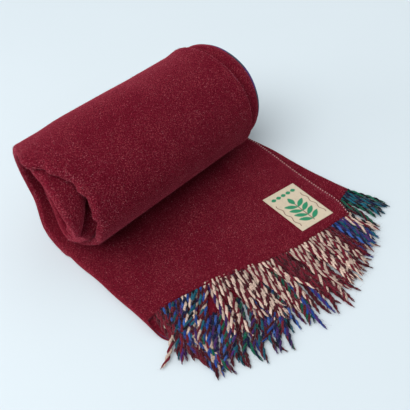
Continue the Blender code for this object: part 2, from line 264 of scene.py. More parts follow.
class Yarn(Enum):
    """The dyed yarns of the fringe, each with its colour."""

    CRIMSON = (0.140, 0.008, 0.020)
    CLARET = (0.060, 0.004, 0.010)
    CREAM = (0.660, 0.490, 0.400)
    NAVY = (0.006, 0.010, 0.045)
    BLUE = (0.012, 0.050, 0.240)
    SKY = (0.040, 0.110, 0.380)
    TEAL = (0.005, 0.100, 0.150)
    GREEN = (0.004, 0.110, 0.065)
    PURPLE = (0.060, 0.018, 0.130)
    BLACK = (0.006, 0.007, 0.012)


# The Mix node's sockets for colours, by number, because its other sockets have the same names.
MIX_A, MIX_B, MIX_RESULT = 6, 7, 2


@dataclass(frozen=True)
class Noise:
    """A noise texture: its features for each metre, its octaves, and how strong the finer octaves are."""

    scale: float
    detail: float = 2.0
    rough: float = 0.5


class Recipe:
    """A material's shader nodes, added and joined one after another."""

    def __init__(self, name: str) -> None:
        """Starts from a material with a Principled shader and one coordinates node.

        Args:
            name: the material's name.
        """
        self.material = bpy.data.materials.new(name)
        self.material.use_nodes = True
        self.nodes = self.material.node_tree.nodes
        self.links = self.material.node_tree.links
        self.shader = self.nodes["Principled BSDF"]
        self.places = self.nodes.new("ShaderNodeTexCoord")

    def put(self, socket: bpy.types.NodeSocket, value: object) -> None:
        """Fills a socket.

        Args:
            socket: the socket.
            value: another socket to join it to, or the number or tuple that it is set to.
        """
        if isinstance(value, bpy.types.NodeSocket):
            self.links.new(value, socket)
        elif isinstance(value, tuple) and len(value) == 3 and len(socket.default_value) == 4:
            socket.default_value = (*value, 1.0)
        else:
            socket.default_value = value

    def fill(self, node: bpy.types.Node, **inputs: object) -> None:
        """Fills inputs of a node, named with _ for a space."""
        for name, value in inputs.items():
            self.put(node.inputs[name.replace("_", " ")], value)

    def finish(self, **inputs: object) -> None:
        """Sets inputs of the shader, named in the same way."""
        self.fill(self.shader, **inputs)

    def shine(self, gloss: float, sheen: float, spread: float) -> None:
        """Sets how the surface shines.

        Args:
            gloss: how strong its reflections are.
            sheen: how strong its soft edge light is.
            spread: how wide the soft edge light is.
        """
        self.finish(Specular_IOR_Level=gloss, Sheen_Weight=sheen, Sheen_Roughness=spread)

    def noise(self, noise: Noise) -> object:
        """Adds a noise texture, laid out in the object's own coordinates.

        Args:
            noise: its values.

        Returns:
            Its value at each point, from 0 to 1.
        """
        node = self.nodes.new("ShaderNodeTexNoise")
        self.fill(node, Vector=self.places.outputs["Object"])
        self.fill(node, Scale=noise.scale, Detail=noise.detail, Roughness=noise.rough)
        return node.outputs["Fac"]

    def dyed(self, layer: str) -> object:
        """Reads a colour layer of the mesh.

        Args:
            layer: its name.

        Returns:
            The colour.
        """
        node = self.nodes.new("ShaderNodeAttribute")
        node.attribute_name = layer
        return node.outputs["Color"]

    def band(self, value: object, low: float, high: float) -> object:
        """Spreads a range of values over 0 to 1, with soft ends.

        Args:
            value: the values.
            low: the one that becomes 0.
            high: the one that becomes 1.

        Returns:
            The values spread out.
        """
        node = self.nodes.new("ShaderNodeMapRange")
        node.interpolation_type = "SMOOTHSTEP"
        self.fill(node, Value=value, From_Min=low, From_Max=high)
        return node.outputs["Result"]

    def sum(self, kind: str, a: object, b: object) -> object:
        """Does one step of arithmetic.

        Args:
            kind: the Math node's operation.
            a: the first value.
            b: the second value.

        Returns:
            The outcome.
        """
        node = self.nodes.new("ShaderNodeMath")
        node.operation = kind
        self.put(node.inputs[0], a)
        self.put(node.inputs[1], b)
        return node.outputs["Value"]

    def mix(self, share: object, a: object, b: object) -> object:
        """Mixes two colours.

        Args:
            share: how far the mixture lies from a to b, from 0 to 1.
            a: the first colour.
            b: the second colour.

        Returns:
            The mixed colour.
        """
        node = self.nodes.new("ShaderNodeMix")
        node.data_type = "RGBA"
        self.put(node.inputs["Factor"], share)
        self.put(node.inputs[MIX_A], a)
        self.put(node.inputs[MIX_B], b)
        return node.outputs[MIX_RESULT]

    def bump(self, height: object, distance: float, under: object = None) -> object:
        """Adds relief.

        Args:
            height: its value, from 0 to 1.
            distance: how far 1 stands out, in metres.
            under: the normal of relief beneath it, if any.

        Returns:
            The normal.
        """
        node = self.nodes.new("ShaderNodeBump")
        self.fill(node, Height=height, Strength=1.0, Distance=distance)
        if under is not None:
            self.fill(node, Normal=under)
        return node.outputs["Normal"]


@dataclass(frozen=True)
class FeltedWool:
    """The plain face: crimson wool raised to a felted nap, with pale and dark hairs in the mixture."""

    ground: Colour = (0.174, 0.0070, 0.0210)
    pale: Colour = (0.420, 0.080, 0.095)
    dark: Colour = (0.050, 0.0020, 0.006)
    cloud: Noise = Noise(22.0, 4.0, 0.65)
    hair: Noise = Noise(1100.0, 2.0, 0.6)
    fleck: Noise = Noise(640.0, 3.0, 0.65)
    cloud_band: Range = (0.30, 0.70)
    hair_band: Range = (0.30, 0.72)
    fleck_band: Range = (0.50, 0.76)
    cloud_share: float = 0.8
    least_share: float = 0.2
    hair_relief: float = 0.0006
    fleck_relief: float = 0.0010
    rough: float = 0.95
    gloss: float = 0.02
    sheen: float = 0.50
    sheen_spread: float = 0.25
    sheen_tint: Colour = (1.0, 0.14, 0.22)

    def material(self) -> bpy.types.Material:
        """Mixes the hairs at three scales and raises a fine nap.

        Returns:
            The material.
        """
        recipe = Recipe("felted_wool")
        cloud, hair, fleck = recipe.noise(self.cloud), recipe.noise(self.hair), recipe.noise(self.fleck)
        base = recipe.mix(recipe.band(hair, *self.hair_band), self.dark, self.ground)
        spread = recipe.sum("MULTIPLY", recipe.band(cloud, *self.cloud_band), self.cloud_share)
        spread = recipe.sum("ADD", spread, self.least_share)
        lift = recipe.sum("MULTIPLY", recipe.band(fleck, *self.fleck_band), spread)
        colour = recipe.mix(lift, base, self.pale)
        nap = recipe.bump(hair, self.hair_relief, recipe.bump(fleck, self.fleck_relief))
        recipe.finish(Base_Color=colour, Roughness=self.rough, Normal=nap, Sheen_Tint=self.sheen_tint)
        recipe.shine(self.gloss, self.sheen, self.sheen_spread)
        return recipe.material


@dataclass(frozen=True)
class CheckedWool:
    """The reverse: a check of blue, purple, green and crimson, which shows only as a thin rim."""

    blue: Colour = (0.030, 0.060, 0.260)
    purple: Colour = (0.085, 0.030, 0.170)
    green: Colour = (0.010, 0.095, 0.070)
    pale: Colour = (0.3, 0.2, 0.3)
    pitch: float = 0.085
    stripe_band: Range = (-0.2, 0.2)
    cross_share: float = 0.6
    hair: Noise = Noise(900.0, 2.0, 0.6)
    hair_band: Range = (0.5, 0.8)
    hair_share: float = 0.2
    hair_relief: float = 0.0006
    rough: float = 0.95
    gloss: float = 0.05
    sheen: float = 0.08
    sheen_spread: float = 0.3

    def material(self) -> bpy.types.Material:
        """Crosses two sets of stripes, laid out along the cloth's own length and width.

        Returns:
            The material.
        """
        recipe = Recipe("checked_wool")
        split = recipe.nodes.new("ShaderNodeSeparateXYZ")
        recipe.put(split.inputs["Vector"], recipe.places.outputs["UV"])
        stripes = []
        for axis in ("X", "Y"):
            turns = recipe.sum("MULTIPLY", split.outputs[axis], math.tau / self.pitch)
            stripes.append(recipe.band(recipe.sum("SINE", turns, 0.0), *self.stripe_band))
        ground = recipe.mix(stripes[0], self.blue, self.purple)
        colour = recipe.mix(recipe.sum("MULTIPLY", stripes[1], self.cross_share), ground, self.green)
        hair = recipe.noise(self.hair)
        shown = recipe.sum("MULTIPLY", recipe.band(hair, *self.hair_band), self.hair_share)
        colour = recipe.mix(shown, colour, self.pale)
        recipe.finish(Base_Color=colour, Roughness=self.rough, Normal=recipe.bump(hair, self.hair_relief))
        recipe.shine(self.gloss, self.sheen, self.sheen_spread)
        return recipe.material


@dataclass(frozen=True)
class SpunYarn:
    """Twisted woollen yarn, in the colour that each ply carries."""

    pale: Colour = (0.75, 0.62, 0.60)
    deep: Colour = (0.0, 0.0, 0.0)
    pale_share: float = 0.30
    deep_share: float = 0.72
    fibre: Noise = Noise(900.0, 3.0, 0.65)
    deep_band: Range = (0.34, 0.56)
    pale_band: Range = (0.56, 0.80)
    most_pale: float = 0.6
    fibre_relief: float = 0.0010
    rough: float = 0.9
    gloss: float = 0.1
    sheen: float = 0.15
    sheen_spread: float = 0.3

    def material(self) -> bpy.types.Material:
        """Darkens and lightens the ply's own colour along its fibres.

        Returns:
            The material.
        """
        recipe = Recipe("spun_yarn")
        dyed = recipe.dyed("yarn")
        fibre = recipe.noise(self.fibre)
        pale = recipe.mix(self.pale_share, dyed, self.pale)
        deep = recipe.mix(self.deep_share, dyed, self.deep)
        colour = recipe.mix(recipe.band(fibre, *self.deep_band), deep, dyed)
        lift = recipe.sum("MULTIPLY", recipe.band(fibre, *self.pale_band), self.most_pale)
        colour = recipe.mix(lift, colour, pale)
        recipe.finish(Base_Color=colour, Roughness=self.rough, Normal=recipe.bump(fibre, self.fibre_relief))
        recipe.shine(self.gloss, self.sheen, self.sheen_spread)
        return recipe.material


@dataclass(frozen=True)
class WovenLinen:
    """The label's fine weave, in the colour that each of its threads carries."""

    thread_pitch: float = 0.0007
    thread_relief: float = 0.00012
    weave_share: float = 0.5
    wear: Noise = Noise(160.0, 4.0, 0.6)
    wear_band: Range = (0.45, 0.85)
    wear_share: float = 0.5
    deep: Colour = (0.0, 0.0, 0.0)
    deep_share: float = 0.35
    rough: float = 0.8
    gloss: float = 0.25
    sheen: float = 0.1

    def material(self) -> bpy.types.Material:
        """Weaves fine threads each way and dirties them a little.

        Returns:
            The material.
        """
        recipe = Recipe("woven_linen")
        dyed = recipe.dyed("thread")
        split = recipe.nodes.new("ShaderNodeSeparateXYZ")
        recipe.put(split.inputs["Vector"], recipe.places.outputs["UV"])
        turns = math.tau / self.thread_pitch
        across = recipe.sum("SINE", recipe.sum("MULTIPLY", split.outputs["X"], turns), 0.0)
        along = recipe.sum("SINE", recipe.sum("MULTIPLY", split.outputs["Y"], turns), 0.0)
        weave = recipe.band(recipe.sum("MULTIPLY", across, along), -1.0, 1.0)
        wear = recipe.band(recipe.noise(self.wear), *self.wear_band)
        shade = recipe.mix(self.deep_share, dyed, self.deep)
        colour = recipe.mix(recipe.sum("MULTIPLY", weave, self.weave_share), dyed, shade)
        colour = recipe.mix(recipe.sum("MULTIPLY", wear, self.wear_share), colour, shade)
        recipe.finish(Base_Color=colour, Roughness=self.rough, Normal=recipe.bump(weave, self.thread_relief))
        recipe.finish(Specular_IOR_Level=self.gloss, Sheen_Weight=self.sheen)
        return recipe.material


@dataclass(frozen=True)
class PaleFloor:
    """The pale blue paper that the rug lies on."""

    colour: Colour = (0.668, 0.744, 0.787)
    darkest: float = 0.985
    grain: Noise = Noise(6.0)
    rough: float = 0.9
    gloss: float = 0.1

    def material(self) -> bpy.types.Material:
        """Makes an even matt tone with the faintest grain.

        Returns:
            The material.
        """
        recipe = Recipe("pale_floor")
        shade = tuple(self.darkest * c for c in self.colour)
        recipe.finish(Base_Color=recipe.mix(recipe.noise(self.grain), self.colour, shade))
        recipe.finish(Roughness=self.rough, Specular_IOR_Level=self.gloss)
        return recipe.material


def add_mesh(
    name: str,
    points: np.ndarray,
    faces: np.ndarray,
    flat: np.ndarray | None = None,
    slots: np.ndarray | None = None,
) -> bpy.types.Object:
    """Makes a mesh object, shaded smooth.

    Args:
        name: its name.
        points: one row of x, y and z for each vertex, in the tables' plan.
        faces: one row of three or four vertex numbers for each face.
        flat: a place on the flat cloth for each vertex, in metres, kept as its UV map.
        slots: the material slot of each face.

    Returns:
        The object, moved so that the middle of the outline stands over the origin.
    """
    mesh = bpy.data.meshes.new(name)
    mesh.from_pydata((points - (*ORIGIN, 0.0)).tolist(), [], faces.tolist())
    mesh.polygons.foreach_set("use_smooth", [True] * len(mesh.polygons))
    if flat is not None:
        layer = mesh.uv_layers.new(name="flat")
        layer.data.foreach_set("uv", flat[faces.ravel()].astype(np.float32).ravel())
    if slots is not None:
        mesh.polygons.foreach_set("material_index", slots.astype(np.int32))
    mesh.update()
    obj = bpy.data.objects.new(name, mesh)
    bpy.context.scene.collection.objects.link(obj)
    return obj


def dye(piece: bpy.types.Object, layer: str, colours: np.ndarray) -> None:
    """Gives each vertex of a piece its colour.

    Args:
        piece: the piece.
        layer: the name of the colour layer.
        colours: one row of red, green, blue and alpha for each vertex.
    """
    found = piece.data.color_attributes.new(layer, "FLOAT_COLOR", "POINT")
    found.data.foreach_set("color", colours.astype(np.float32).ravel())


def lengths_along(path: np.ndarray) -> np.ndarray:
    """How far along a path each of its points lies, from one row of x, y and z for each."""
    return np.concatenate([[0.0], np.cumsum(np.linalg.norm(np.diff(path, axis=0), axis=1))])


def square_to(path: np.ndarray) -> tuple[np.ndarray, np.ndarray]:
    """Finds two directions square to a path.

    Args:
        path: its points, one row each.

    Returns:
        At each point, the level direction to its side and the direction above it.
    """
    along = np.gradient(path, axis=0)
    along /= np.linalg.norm(along, axis=1)[:, None]
    aside = np.cross(along, (0.0, 0.0, 1.0))
    aside /= np.linalg.norm(aside, axis=1)[:, None]
    return aside, np.cross(aside, along)


def tube(path: np.ndarray, radius: np.ndarray, sides: int, flattening: float) -> np.ndarray:
    """Rings of points round a path.

    Args:
        path: its points, one row each.
        radius: the ring's radius at each of them.
        sides: how many points a ring has.
        flattening: the rings' height as a share of their width.

    Returns:
        One row for each point, ring after ring.
    """
    aside, above = square_to(path)
    angles = np.linspace(0.0, math.tau, sides, endpoint=False)
    wide = radius[:, None, None] * np.cos(angles)[None, :, None] * aside[:, None, :]
    high = flattening * radius[:, None, None] * np.sin(angles)[None, :, None] * above[:, None, :]
    return (path[:, None, :] + wide + high).reshape(-1, 3)


def tube_faces(rings: int, sides: int) -> np.ndarray:
    """Joins the rings of a tube with four-sided faces and leaves both ends open.

    Args:
        rings: how many rings there are.
        sides: how many points each has.

    Returns:
        One row of four point numbers for each face.
    """
    i = np.arange(sides)
    j = (i + 1) % sides
    base = np.arange(rings - 1)[:, None] * sides
    return np.stack([base + i, base + i + sides, base + j + sides, base + j], axis=2).reshape(-1, 4)


@dataclass(frozen=True)
class Section:
    """The folded cloth's section, with one value in each array for each point of its outline.

    across is the share of the width and aside the distance beyond it. height is the depth into the pack from
    its underside, upper how far a point belongs to the two upper layers, first 1 on the uppermost of them,
    and flat how far along the flat cloth's width it lies.
    """

    across: np.ndarray
    aside: np.ndarray
    height: np.ndarray
    upper: np.ndarray
    first: np.ndarray
    flat: np.ndarray


@dataclass(frozen=True)
class Pack:
    """Sizes of the four layers that lie on each other, and where any point of them goes.

    The top layer's selvedge leads, and the second lags behind by second_lag of that. Each of rim_waves is a
    height, waves for each degree of turn and a start. rim_starts and rim_ends give the turn angles between
    which the left rim wanders, and over how many degrees that fades.
    """

    layers: int = 4
    cloth_thick: float = 0.0030
    layer_pitch: float = 0.0036
    mean_width: float = 0.390
    across_steps: int = 30
    fold_steps: int = 10
    selvedge_lead: float = 0.0070
    right_rim_lift: float = 0.0030
    rim_from: float = 0.93
    groove_at: float = 0.948
    groove_wide: float = 0.017
    groove_deep: float = 0.0120
    axis_left: float = 0.110
    axis_right: float = 0.104
    edge_crowding: float = 0.35
    second_lag: float = 0.35
    rim_waves: tuple[Point, ...] = ((0.0020, 0.27, 0.6), (0.0014, 0.46, 2.0))
    rim_starts: tuple[float, float] = (150.0, 30.0)
    rim_ends: tuple[float, float] = (330.0, 40.0)

    @property
    def thick(self) -> float:
        """The pack's depth."""
        return (self.layers - 1) * self.layer_pitch + self.cloth_thick

    @property
    def outermost(self) -> float:
        """How far the middles of the top and bottom layers lie from the middle of the pack."""
        return (self.layers - 1) / 2 * self.layer_pitch

    def level(self, layer: int) -> float:
        """Height of a layer's middle over the pack's underside, with layer 0 on top."""
        return self.thick - self.cloth_thick / 2 - layer * self.layer_pitch

    def run(self, layer: int, rightward: bool, side: float) -> np.ndarray:
        """Lays out one layer's face.

        Args:
            layer: which layer, 0 being the top one.
            rightward: whether it runs from left to right.
            side: 1 for the layer's upper face and -1 for its lower one.

        Returns:
            Rows of across, aside, height, upper and first.
        """
        # The points lie closer together by the two edges, where the cloth bends.
        even = np.linspace(0.0, 1.0, self.across_steps)
        share = even - self.edge_crowding * np.sin(math.tau * even) / math.tau
        share = share if rightward else share[::-1]
        height = np.full(len(share), self.level(layer) + side * self.cloth_thick / 2)
        upper = np.full(len(share), 1.0 if layer < 2 else 0.0)
        first = np.full(len(share), 1.0 if layer == 0 else 0.0)
        return np.stack([share, np.zeros(len(share)), height, upper, first], axis=1)

    def fold(self, across: float, middle: float, radius: float, outward: int, uppers: Point) -> np.ndarray:
        """Lays out a half circle of cloth between two layers.

        Args:
            across: the share of the width where it starts and ends.
            middle: its height.
            radius: its radius.
            outward: 1 on the right side and -1 on the left.
            uppers: 1 or 0 for the pair of layers that it leaves and for the one that it reaches, and 1 or -1
                where it rises or falls.

        Returns:
            Rows as those of run.
        """
        start, end, rising = uppers
        share = np.arange(1, self.fold_steps) / self.fold_steps
        turn = math.pi * share
        height = middle - rising * radius * np.cos(turn)
        aside = outward * radius * np.sin(turn)
        upper = start + (end - start) * share
        return np.stack([np.full(len(share), across), aside, height, upper, np.zeros(len(share))], axis=1)

    def face(self, side: Side) -> np.ndarray:
        """Lays out one face of the whole folded cloth, from the upper selvedge to the lower one.

        Args:
            side: which face.

        Returns:
            Rows as those of run.
        """
        s = side.value
        half = s * self.cloth_thick / 2
        outer, inner = self.outermost, 0.5 * self.layer_pitch
        left = (self.level(0) + self.level(3)) / 2
        right = (self.level(2) + self.level(3)) / 2
        return np.concatenate(
            [
                self.run(0, False, s),
                self.fold(0.0, left, outer + half, -1, (1.0, 0.0, -1.0)),
                self.run(3, True, -s),
                self.fold(1.0, right, inner + half, 1, (0.0, 0.0, 1.0)),
                self.run(2, False, s),
                self.fold(0.0, left, inner - half, -1, (0.0, 1.0, 1.0)),
                self.run(1, True, -s),
            ]
        )

    def section(self, rows: np.ndarray) -> Section:
        """Names the columns of a face's rows and measures the flat cloth along them.

        Args:
            rows: the rows.

        Returns:
            The section.
        """
        steps = np.hypot(np.diff(rows[:, 0]) * self.mean_width + np.diff(rows[:, 1]), np.diff(rows[:, 2]))
        flat = np.concatenate([[0.0], np.cumsum(steps)])
        return Section(*rows.T, flat)

    def aside(self, part: Section, table: Table, value: float) -> np.ndarray:
        """Places a section between the two side edges.

        Args:
            part: the section.
            table: the table that holds the edges.
            value: the value of its key at which they are read.

        Returns:
            X of each of its points.
        """
        left = table.at("left_fold_x", value) + self.outermost + self.cloth_thick / 2
        lower = table.at("right_fold_x", value) - 0.5 * self.layer_pitch - self.cloth_thick / 2
        right = part.upper * table.at("selvedge_x", value) + (1 - part.upper) * lower
        right = right + self.selvedge_lead * (part.first - self.second_lag * part.upper)
        return left + (right - left) * part.across + part.aside

    def rim_wave(self, angle: float) -> float:
        """How far the outer wrap's left rim wanders from its smooth line.

        Args:
            angle: the turn angle.

        Returns:
            The distance.
        """
        wave = sum(height * math.sin(angle * pace + start) for height, pace, start in self.rim_waves)
        begun = (angle - self.rim_starts[0]) / self.rim_starts[1]
        left = (self.rim_ends[0] - angle) / self.rim_ends[1]
        return wave * min(1.0, max(0.0, begun)) * min(1.0, max(0.0, left))

    def on_tail(self, part: Section, share: float) -> np.ndarray:
        """Places a section on the flat tail.

        Args:
            part: the section.
            share: how far from the fringe to the roll it lies.

        Returns:
            One row of x, y and z for each of its points.
        """
        end = part.upper * END.at("upper_y", part.across) + (1 - part.upper) * END.at("lower_y", part.across)
        x, y, z = self.aside(part, TAIL, share), end * (1 - share), part.height.copy()
        for crease in CREASES:
            if crease.bent is Bent.TAIL:
                z += crease.lift(y, x, 1.0) * part.height / self.thick
        return np.stack([x, y, z], axis=1)

    def on_roll(self, part: Section, angle: float) -> np.ndarray:
        """Places a section on the roll.

        Args:
            part: the section.
            angle: its turn angle from where the tail meets the roll's underside.

        Returns:
            One row of x, y and z for each of its points.
        """
        left, right = TURNS.at("left_radius", angle), TURNS.at("right_radius", angle)
        radius = left + (right - left) * part.across - part.height
        radius += TURNS.at("flare", angle) * np.clip(1 - part.across / FLARE_SHARE, 0.0, 1.0) ** 2
        raised = (1 - math.cos(math.radians(angle))) / 2
        rim = np.clip((part.across - self.rim_from) / (1 - self.rim_from), 0.0, 1.0)
        radius += raised * self.right_rim_lift * rim * rim * (3 - 2 * rim)
        groove = np.exp(-(((part.across - self.groove_at) / self.groove_wide) ** 2))
        radius -= raised * self.groove_deep * groove * part.upper
        x = self.aside(part, TURNS, angle)
        x += self.rim_wave(angle) * np.clip(1 - part.across / RIM_SHARE, 0.0, 1.0)
        for crease in CREASES:
            if crease.bent is Bent.ROLL and abs(angle - crease.start[0]) < HALF_TURN:
                radius += crease.lift(np.full(len(x), angle), x, float(left))
        axis = self.axis_left + (self.axis_right - self.axis_left) * part.across
        turn = math.radians(angle)
        return np.stack([x, radius * math.sin(turn), axis - radius * math.cos(turn)], axis=1)


@dataclass(frozen=True)
class Patch:
    """A stretch of the cloth's plain face that shows: from one section to another, and of each its points.

    density is how thick its hairs stand, against those of the open cloth; thick pale hairs paint a
    highlight.
    """

    rows: tuple[int, int]
    columns: tuple[int, int]
    density: float = 1.0


@dataclass
class RugCloth:
    """The rug's cloth: one sheet, swept along the tail and round the roll, with its two faces.

    The steps and limits of the wraps are turn angles. The densities are how thick the nap stands along the
    left and right rims of the roll, where its pale hairs, packed close, paint a highlight along each rim;
    plain holds the plain face's points once they are built.
    """

    pack: Pack
    tail_steps: int = 30
    outer_step: float = 4.0
    inner_step: float = 10.0
    outer_until: float = 720.0
    checked_until: float = 500.0
    left_rim_nap_highlight_density: float = 3.0
    right_rim_nap_highlight_density: float = 9.0
    plain: np.ndarray | None = None

    def build(self) -> bpy.types.Object:
        """Makes the sheet and gives its two faces their finishes.

        Returns:
            The sheet.
        """
        pack = self.pack
        shown, hidden = pack.face(Side.PLAIN), pack.face(Side.CHECKED)
        outline = pack.section(np.concatenate([shown, hidden[::-1]]))
        count, half = len(outline.across), len(shown)
        flat_across = pack.section(shown).flat
        flat_across = np.concatenate([flat_across, flat_across[::-1]])
        shares = np.linspace(0.0, 1.0, self.tail_steps, endpoint=False)
        rows = [pack.on_tail(outline, share) for share in shares]
        angles = np.concatenate(
            [
                np.arange(0.0, self.outer_until, self.outer_step),
                np.arange(self.outer_until, TURNS.last + self.inner_step / 2, self.inner_step),
            ]
        )
        rows += [pack.on_roll(outline, angle) for angle in angles]
        points = np.array(rows)
        self.plain = points[:, :half]
        along = lengths_along(points[:, half // 2])
        flat = np.stack(np.broadcast_arrays(flat_across[None, :], along[:, None]), axis=2).reshape(-1, 2)
        faces, slots = self.skin(len(rows), count, half)
        cloth = add_mesh("rug_sheet", points.reshape(-1, 3), faces, flat, slots)
        cloth.data.materials.append(FeltedWool().material())
        cloth.data.materials.append(CheckedWool().material())
        return cloth

    def shown(self) -> tuple[Patch, ...]:
        """Lists the stretches of the plain face that can be seen.

        Returns:
            Those of the tail's top and of the roll's outside.
        """
        run, fold = self.pack.across_steps, self.pack.fold_steps - 1
        tail = (0, self.tail_steps)
        roll = (self.tail_steps - 1, self.tail_steps + int(self.outer_until / self.outer_step))
        lower = run + fold
        third = 2 * lower
        second = third + run + fold
        return (
            Patch(tail, (0, run + fold)),
            Patch(tail, (lower + run - 1, third + run // 4)),
            Patch(roll, (run - run // 4, third + 1)),
            Patch(roll, (second + run - run // 4, second + run)),
            # The pale nap packed thick on the left and right rims paints a highlight along them.
            Patch(roll, (run, lower + 1), self.left_rim_nap_highlight_density),
            Patch(roll, (lower, lower + run // 4)),
            Patch(roll, (third - fold - 1, third - fold // 2), self.right_rim_nap_highlight_density),
        )

    def skin(self, rows: int, count: int, half: int) -> tuple[np.ndarray, np.ndarray]:
        """Joins the sections with four-sided faces.

        Args:
            rows: how many sections there are.
            count: how many points each has.
            half: how many of them are on the plain face.

        Returns:
            The faces, and each face's material slot.
        """
        i = np.arange(count)
        j = (i + 1) % count
        base = np.arange(rows - 1)[:, None] * count
        faces = np.stack([base + j, base + i, base + i + count, base + j + count], axis=2).reshape(-1, 4)
        slot = np.where((i >= half - 1) & (i < count - 1), 1, 0)
        slots = np.tile(slot, rows - 1)
        # Further in, the reverse is out of sight and takes the plain face's finish.
        outer = self.tail_steps + int(self.checked_until / self.outer_step)
        slots[outer * count :] = 0
        k = np.arange(half - 1)
        near = np.stack([k, k + 1, count - 2 - k, count - 1 - k], axis=1)
        far = near[:, ::-1] + (rows - 1) * count
        ends = np.concatenate([near, far])
        return np.concatenate([faces, ends]), np.concatenate([slots, np.zeros(len(ends), int)])


@dataclass(frozen=True)
class Hair:
    """One kind of hair in the nap, and its share of them all."""

    colour: Colour
    share: float


HAIRS = (
    Hair((0.340, 0.022, 0.050), 0.46),
    Hair((0.520, 0.115, 0.160), 0.33),
    Hair((0.640, 0.260, 0.290), 0.06),
    Hair((0.026, 0.002, 0.005), 0.15),
)


@dataclass
class Nap:
    """Fine loose hairs wherever the plain face shows, which rise from it by lowest to highest degrees."""

    patches: tuple[Patch, ...]
    hairs: int = 80000
    lowest: float = 8.0
    highest: float = 40.0
    shortest: float = 0.0014
    longest: float = 0.0034
    half_wide: float = 0.00013
    rough: float = 0.9
    gloss: float = 0.05
    seed: int = 29

    def build(self, plain: np.ndarray) -> bpy.types.Object:
        """Scatters the hairs evenly by area.

        Args:
            plain: the plain face's points, as sections by points by 3.

        Returns:
            The hairs as one mesh of thin triangles.
        """
        draw = np.random.default_rng(self.seed)
        parts = [self.corners(plain, patch) for patch in self.patches]
        corners = np.concatenate(parts)
        area = np.linalg.norm(np.cross(corners[:, 1] - corners[:, 0], corners[:, 2] - corners[:, 0]), axis=1)
        weight = area * np.repeat([patch.density for patch in self.patches], [len(part) for part in parts])
        quad = corners[draw.choice(len(corners), self.hairs, p=weight / weight.sum())]
        u, v = draw.random((2, self.hairs, 1))
        near = quad[:, 0] * (1 - u) + quad[:, 1] * u
        far = quad[:, 2] * (1 - u) + quad[:, 3] * u
        root = near * (1 - v) + far * v
        along, aside = quad[:, 1] - quad[:, 0], quad[:, 2] - quad[:, 0]
        out = np.cross(along, aside)
        out /= np.linalg.norm(out, axis=1)[:, None]
        along /= np.linalg.norm(along, axis=1)[:, None]
        aside = np.cross(out, along)
        way = draw.uniform(0.0, math.tau, (self.hairs, 1))
        rise = np.radians(draw.uniform(self.lowest, self.highest, (self.hairs, 1)))
        lean = np.cos(way) * along + np.sin(way) * aside
        side = np.cos(way) * aside - np.sin(way) * along
        length = draw.uniform(self.shortest, self.longest, (self.hairs, 1))
        tip = root + length * (np.cos(rise) * lean + np.sin(rise) * out)
        points = np.stack([root - self.half_wide * side, root + self.half_wide * side, tip], axis=1)
        # None reaches down past the surface that the rug lies on.
        points[:, :, 2] = np.maximum(points[:, :, 2], 0.0)
        faces = np.arange(3 * self.hairs).reshape(-1, 3)
        nap = add_mesh("rug_nap", points.reshape(-1, 3), faces)
        kind = draw.choice(len(HAIRS), self.hairs, p=[hair.share for hair in HAIRS])
        colour = np.array([(*hair.colour, 1.0) for hair in HAIRS])[kind]
        dye(nap, "hair", np.repeat(colour, 3, axis=0))
        recipe = Recipe("nap_hair")
        recipe.finish(Base_Color=recipe.dyed("hair"), Roughness=self.rough, Specular_IOR_Level=self.gloss)
        nap.data.materials.append(recipe.material)
        return nap

    def corners(self, plain: np.ndarray, patch: Patch) -> np.ndarray:
        """Finds the corners of the faces in a patch.

        Args:
            plain: the plain face's points, as sections by points by 3.
            patch: the patch.

        Returns:
            The corners, as faces by 4 by 3.
        """
        part = plain[patch.rows[0] : patch.rows[1], patch.columns[0] : patch.columns[1]]
        found = np.stack([part[:-1, :-1], part[1:, :-1], part[:-1, 1:], part[1:, 1:]], axis=2)
        return found.reshape(-1, 4, 3)


@dataclass(frozen=True)
class Band:
    """The pairs of yarns that strands are plied from, up to a share of a layer's width."""

    until: float
    pairs: tuple[tuple[Yarn, Yarn], ...]


# A ribbon's two faces, and the pale tone that stray fibres take on.
WISP_FACES = np.array([[0, 1, 3, 2], [2, 3, 5, 4]])
WISP_COLOUR = (0.42, 0.24, 0.26)


